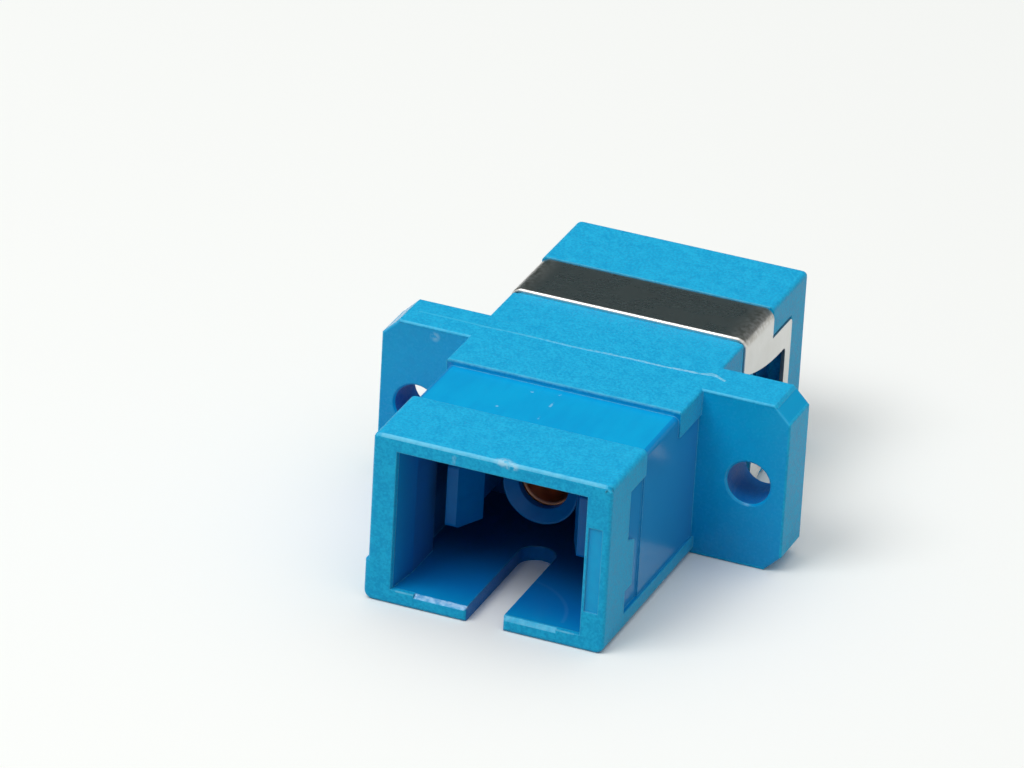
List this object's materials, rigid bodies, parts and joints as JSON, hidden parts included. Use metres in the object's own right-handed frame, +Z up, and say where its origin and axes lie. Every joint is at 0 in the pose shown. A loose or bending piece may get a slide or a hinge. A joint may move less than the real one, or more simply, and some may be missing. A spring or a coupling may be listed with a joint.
{
  "type": "fibre optic adapter",
  "caption": "Flanged simplex fibre optic adapter: square push-pull plug sockets back to back, sprung latch arms, split alignment sleeve and a spring panel clip.",
  "frame": {"origin": "on the fibre axis, in the plane of the flange's rear face, where it seats on a panel", "axes": "+Y along the fibre axis towards the rear socket and the spring clip, +Z up away from the key slots, +X across the flange"},
  "size_m": [0.022, 0.0269, 0.0095],
  "materials": {
    "blue_housing": "fine spark-textured",
    "blue_insert": "smooth moulded",
    "bronze_sleeve": "bright rolled bronze",
    "clip_steel": "bright stamped sheet"
  },
  "bodies": {
    "root": {"front_housing": "blue_housing", "rear_housing": "blue_housing", "front_latch_insert": "blue_insert", "rear_latch_insert": "blue_insert", "alignment_sleeve": "bronze_sleeve", "mounting_clip": "clip_steel"}
  },
  "joints": []
}
